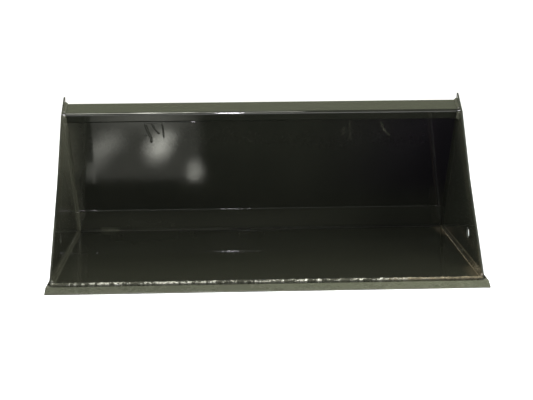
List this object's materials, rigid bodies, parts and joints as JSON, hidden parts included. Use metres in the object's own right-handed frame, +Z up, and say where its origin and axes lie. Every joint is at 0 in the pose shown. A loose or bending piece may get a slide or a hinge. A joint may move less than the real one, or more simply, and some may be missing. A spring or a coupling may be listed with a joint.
{
  "type": "skid steer bucket",
  "caption": "Low-profile smooth bucket of welded plate, with a bevelled cutting edge, a tube along its top and a quick-attach mount behind for a skid steer loader.",
  "frame": {"origin": "centre of the bucket's footprint, on the ground", "axes": "+X along the cutting edge to the right of someone who looks into the mouth, +Y from the mouth to the mount, +Z up"},
  "size_m": [1.546, 0.9064, 0.61],
  "materials": {
    "bowl_paint": "gloss black paint over rolled plate",
    "edge_paint": "gloss black paint, thinner over thick bar",
    "mount_paint": "gloss black paint over cut plate",
    "weld_paint": "thin black paint over rippled weld"
  },
  "bodies": {
    "root": {"coupler_plate_left": "mount_paint", "coupler_plate_right": "mount_paint", "cutting_edge": "edge_paint", "hook_bar": "mount_paint", "hook_rib_1": "mount_paint", "hook_rib_2": "mount_paint", "mount_rib_1": "mount_paint", "mount_rib_2": "mount_paint", "mount_rib_3": "mount_paint", "mount_rib_4": "mount_paint", "shell_plate": "bowl_paint", "side_plate_left": "bowl_paint", "side_plate_right": "bowl_paint", "top_tube": "bowl_paint", "wear_bar_1": "edge_paint", "wear_bar_2": "edge_paint", "wear_bar_3": "edge_paint", "wear_bar_4": "edge_paint", "weld_back_left": "weld_paint", "weld_back_right": "weld_paint", "weld_coupler": "weld_paint", "weld_edge_rear": "weld_paint", "weld_floor_front": "weld_paint", "weld_floor_left": "weld_paint", "weld_floor_right": "weld_paint", "weld_foot_left": "weld_paint", "weld_foot_right": "weld_paint", "weld_heel_left": "weld_paint", "weld_heel_right": "weld_paint", "weld_hook_bar": "weld_paint", "weld_rear_left": "weld_paint", "weld_rear_right": "weld_paint", "weld_ribs": "weld_paint", "weld_tube_left": "weld_paint", "weld_tube_right": "weld_paint", "weld_wear_bars": "weld_paint"}
  },
  "joints": []
}
